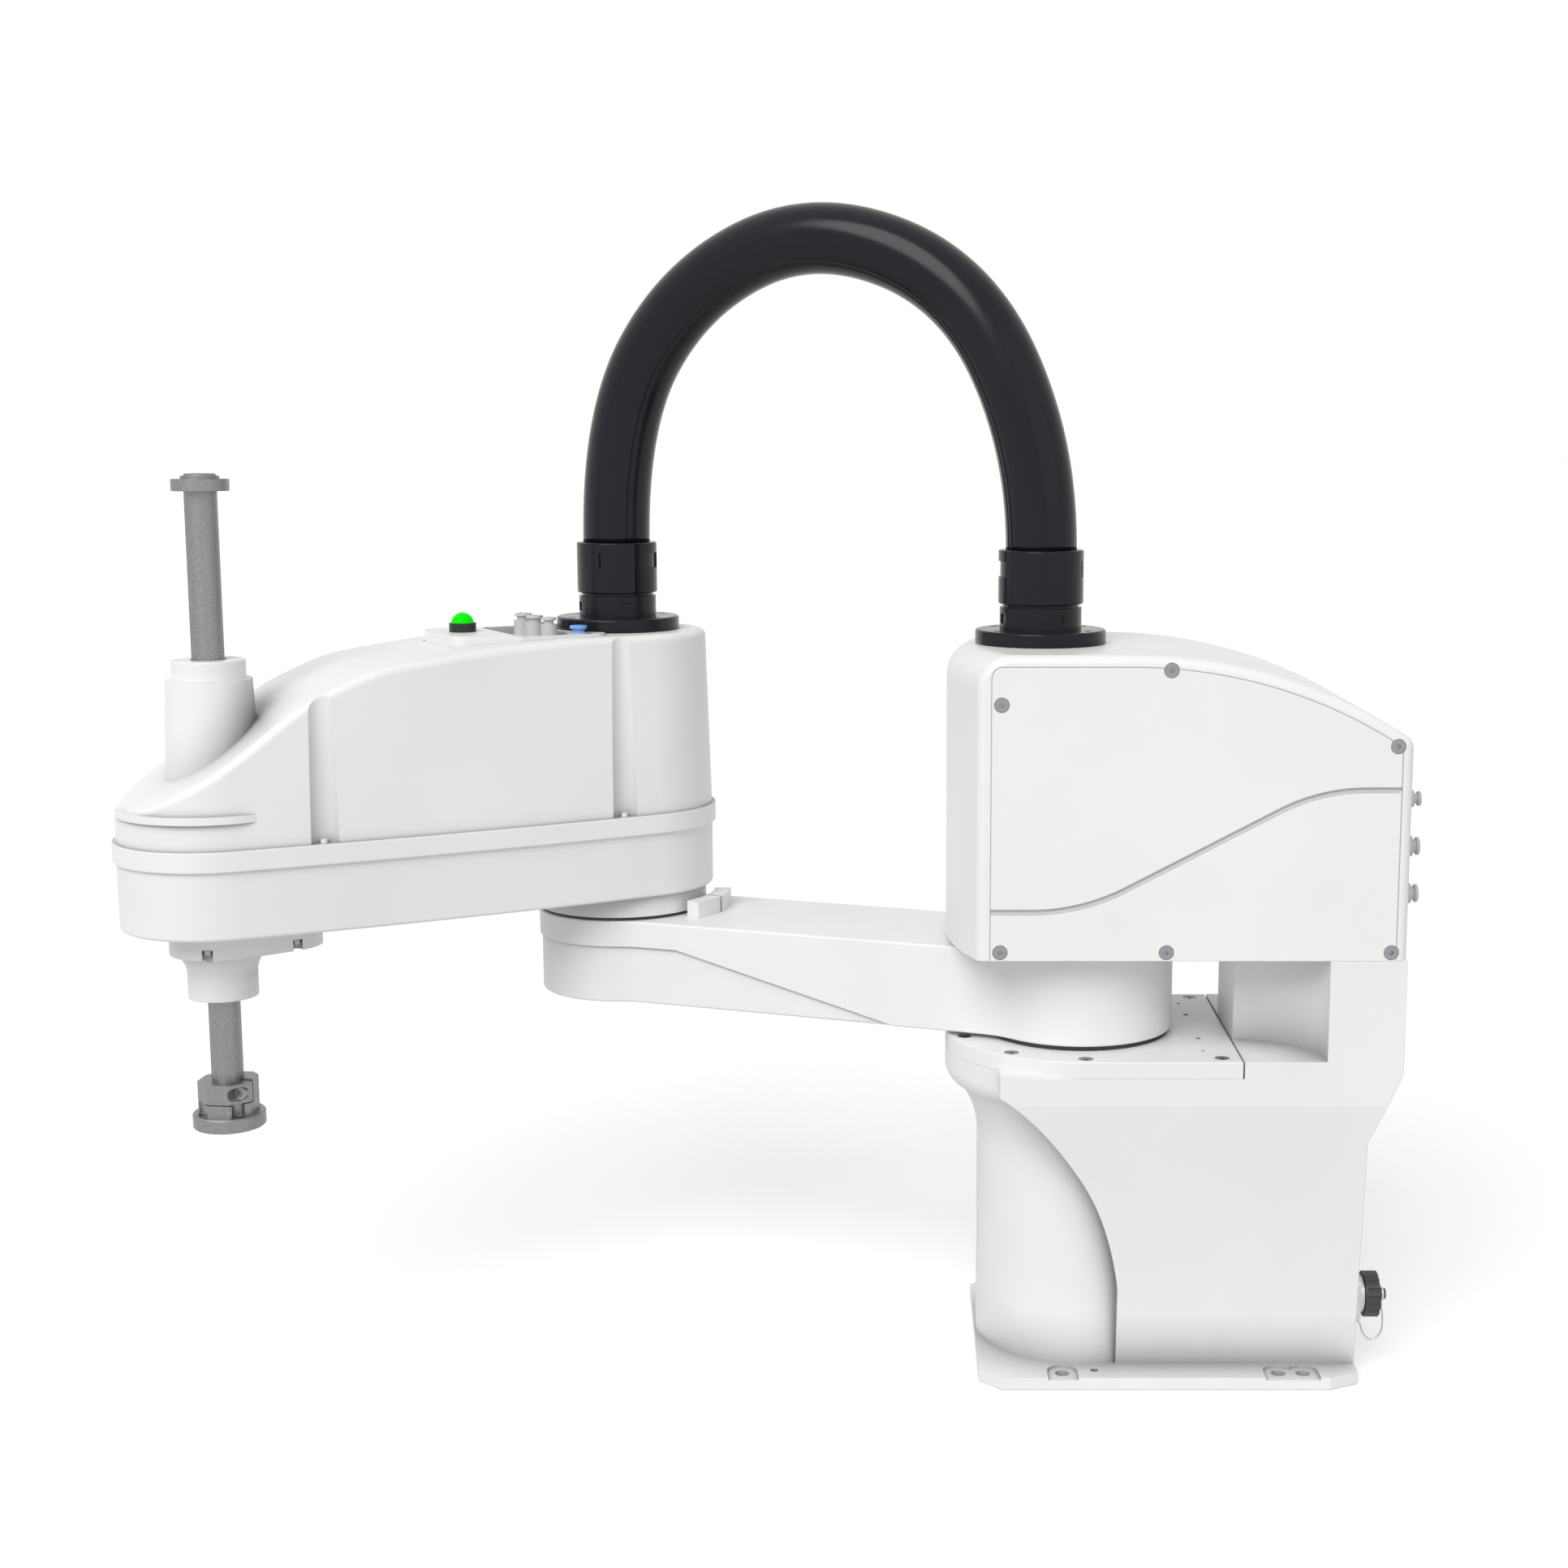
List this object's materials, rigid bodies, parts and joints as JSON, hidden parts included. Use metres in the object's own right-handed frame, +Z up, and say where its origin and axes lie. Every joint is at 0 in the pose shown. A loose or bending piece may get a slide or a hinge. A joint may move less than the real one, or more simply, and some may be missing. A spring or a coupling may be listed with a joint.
{
  "type": "scara_robot",
  "caption": "SCARA pick and place robot with a tall rear head, a cable duct arching to the second arm, and a spline shaft with a tool flange",
  "frame": {"origin": "The first axis where it meets the mounting plane under the base", "axes": "+Z up along every axis of the robot, -X to the front of the base, -Y to the side that faces the viewer of the picture"},
  "size_m": [0.8186, 0.2617, 0.7429],
  "materials": {
    "white_paint": "satin",
    "white_shell": "satin",
    "panel_grey": "satin",
    "duct_black": "gloss",
    "shaft_steel": "satin",
    "drive_steel": "satin",
    "screw_zinc": "satin",
    "seal_rubber": "matte",
    "motor_black": "satin",
    "frame_aluminium": "satin",
    "fitting_grey": "satin",
    "fitting_blue": "satin",
    "lamp_ring": "satin",
    "lamp_green": "gloss",
    "connector_metal": "satin",
    "cap_black": "satin",
    "tether_steel": "satin"
  },
  "bodies": {
    "base_body": {"base_casting": "white_paint", "base_top_deck": "white_paint", "deck_screws": "screw_zinc", "head_housing": "white_shell", "head_panel_near": "white_shell", "head_panel_far": "white_shell", "head_panel_screws": "screw_zinc", "rear_fitting_bodies": "fitting_grey", "rear_connector": "connector_metal", "cap_tether": "tether_steel", "tether_ends": "connector_metal", "j1_motor": "motor_black", "j1_reducer_case": "drive_steel", "j1_seal": "seal_rubber", "duct_flange_head": "duct_black", "duct_collar_head": "duct_black", "duct_hose": "duct_black"},
    "arm_1": {"arm1_casting": "white_paint", "arm1_stop_blocks": "white_paint", "j1_output_hub": "drive_steel", "j2_reducer_case": "drive_steel", "j2_seal": "seal_rubber"},
    "arm_2": {"arm2_casting": "white_paint", "arm2_cover": "white_shell", "cover_screws": "white_paint", "tower_collar": "white_shell", "user_panel": "white_shell", "lamp_base": "lamp_ring", "lamp_dome": "lamp_green", "panel_fitting_bodies": "fitting_grey", "j2_motor": "motor_black", "j2_output_hub": "drive_steel", "drive_frame": "frame_aluminium", "j3_motor": "motor_black", "j4_motor": "motor_black", "j3_belt": "seal_rubber", "j4_belt": "seal_rubber", "lower_housing": "white_paint", "housing_screws": "screw_zinc", "duct_flange_arm": "duct_black", "duct_collar_arm": "duct_black"},
    "shaft_body": {"spline_shaft": "shaft_steel", "top_stop_ring": "shaft_steel", "lower_clamp": "shaft_steel", "clamp_screw": "screw_zinc", "tool_flange": "shaft_steel"},
    "rear_ring_upper": {"rear_ring_upper": "fitting_grey"},
    "rear_ring_middle": {"rear_ring_middle": "fitting_grey"},
    "rear_ring_lower": {"rear_ring_lower": "fitting_grey"},
    "connector_cap": {"connector_cap": "cap_black"},
    "j1_rotor": {"j1_rotor": "drive_steel"},
    "j2_rotor": {"j2_rotor": "drive_steel"},
    "panel_ring_1": {"panel_ring_1": "fitting_grey"},
    "panel_ring_2": {"panel_ring_2": "fitting_grey"},
    "panel_ring_3": {"panel_ring_3": "fitting_grey"},
    "panel_ring_4": {"panel_ring_4": "fitting_blue"},
    "j3_motor_pulley": {"j3_motor_pulley": "frame_aluminium"},
    "j4_motor_pulley": {"j4_motor_pulley": "frame_aluminium"},
    "spline_nut": {"spline_nut": "drive_steel"},
    "ball_screw_nut": {"ball_screw_nut": "drive_steel"}
  },
  "joints": [
    {"name": "axis_1", "type": "hinge", "parent": "base_body", "child": "arm_1", "pos_m": [0, 0, 0.216], "axis": [0, 0, 1], "range_deg": [-90.7, 129.3], "deforming": ["duct_hose"]},
    {"name": "axis_2", "type": "hinge", "parent": "arm_1", "child": "arm_2", "pos_m": [-0.30673, 0.10742, 0.274], "axis": [0, 0, 1], "range_deg": [-168.4, 71.6]},
    {"name": "axis_4", "type": "hinge", "parent": "arm_2", "child": "spline_nut", "pos_m": [-0.54702, -0.02633, 0.3], "axis": [0, 0, 1], "range_deg": [-360, 360]},
    {"name": "axis_3", "type": "slide", "parent": "spline_nut", "child": "shaft_body", "axis": [0, 0, 1], "range_m": [-0.1, 0.05]},
    {"name": "ball_nut_turn", "type": "hinge", "parent": "spline_nut", "child": "ball_screw_nut", "pos_m": [-0.54702, -0.02633, 0.365], "axis": [0, 0, 1], "range_deg": [-1801, 901]},
    {"name": "axis_3_motor_turn", "type": "hinge", "parent": "arm_2", "child": "j3_motor_pulley", "pos_m": [-0.46838, 0.01744, 0.355], "axis": [0, 0, 1], "range_deg": [-3047.2, 1524.1]},
    {"name": "axis_4_motor_turn", "type": "hinge", "parent": "arm_2", "child": "j4_motor_pulley", "pos_m": [-0.41159, 0.04906, 0.311], "axis": [0, 0, 1], "range_deg": [-610.2, 610.2]},
    {"name": "axis_1_rotor_turn", "type": "hinge", "parent": "base_body", "child": "j1_rotor", "pos_m": [0, 0, 0.165], "axis": [0, 0, 1], "range_deg": [-10345, 7257]},
    {"name": "axis_2_rotor_turn", "type": "hinge", "parent": "arm_2", "child": "j2_rotor", "pos_m": [-0.30673, 0.10742, 0.245], "axis": [0, 0, 1], "range_deg": [-3652.6, 8589.4]},
    {"name": "connector_cap_turn", "type": "hinge", "parent": "base_body", "child": "connector_cap", "pos_m": [0.182, -0.048, 0.049], "axis": [1, 0, 0], "range_deg": [0, 120]},
    {"name": "rear_ring_upper_press", "type": "slide", "parent": "base_body", "child": "rear_ring_upper", "axis": [1, 0, 0], "range_m": [-0.0015, 0], "stiffness_N_per_m": 300, "springref_m": 0.0005},
    {"name": "rear_ring_middle_press", "type": "slide", "parent": "base_body", "child": "rear_ring_middle", "axis": [1, 0, 0], "range_m": [-0.0015, 0], "stiffness_N_per_m": 300, "springref_m": 0.0005},
    {"name": "rear_ring_lower_press", "type": "slide", "parent": "base_body", "child": "rear_ring_lower", "axis": [1, 0, 0], "range_m": [-0.0015, 0], "stiffness_N_per_m": 300, "springref_m": 0.0005},
    {"name": "panel_ring_1_press", "type": "slide", "parent": "arm_2", "child": "panel_ring_1", "axis": [0, 0, 1], "range_m": [-0.0015, 0], "stiffness_N_per_m": 300, "springref_m": 0.0005},
    {"name": "panel_ring_2_press", "type": "slide", "parent": "arm_2", "child": "panel_ring_2", "axis": [0, 0, 1], "range_m": [-0.0015, 0], "stiffness_N_per_m": 300, "springref_m": 0.0005},
    {"name": "panel_ring_3_press", "type": "slide", "parent": "arm_2", "child": "panel_ring_3", "axis": [0, 0, 1], "range_m": [-0.0015, 0], "stiffness_N_per_m": 300, "springref_m": 0.0005},
    {"name": "panel_ring_4_press", "type": "slide", "parent": "arm_2", "child": "panel_ring_4", "axis": [0, 0, 1], "range_m": [-0.0015, 0], "stiffness_N_per_m": 300, "springref_m": 0.0005}
  ],
  "couplings": [
    {"joint": "ball_nut_turn", "follows": "axis_3", "rad_per_m": 314.16},
    {"joint": "axis_3_motor_turn", "follows": "axis_3", "rad_per_m": 531.65},
    {"joint": "axis_4_motor_turn", "follows": "axis_4", "ratio": 1.6923},
    {"joint": "axis_1_rotor_turn", "follows": "axis_1", "ratio": -80},
    {"joint": "axis_2_rotor_turn", "follows": "axis_2", "ratio": -51}
  ]
}
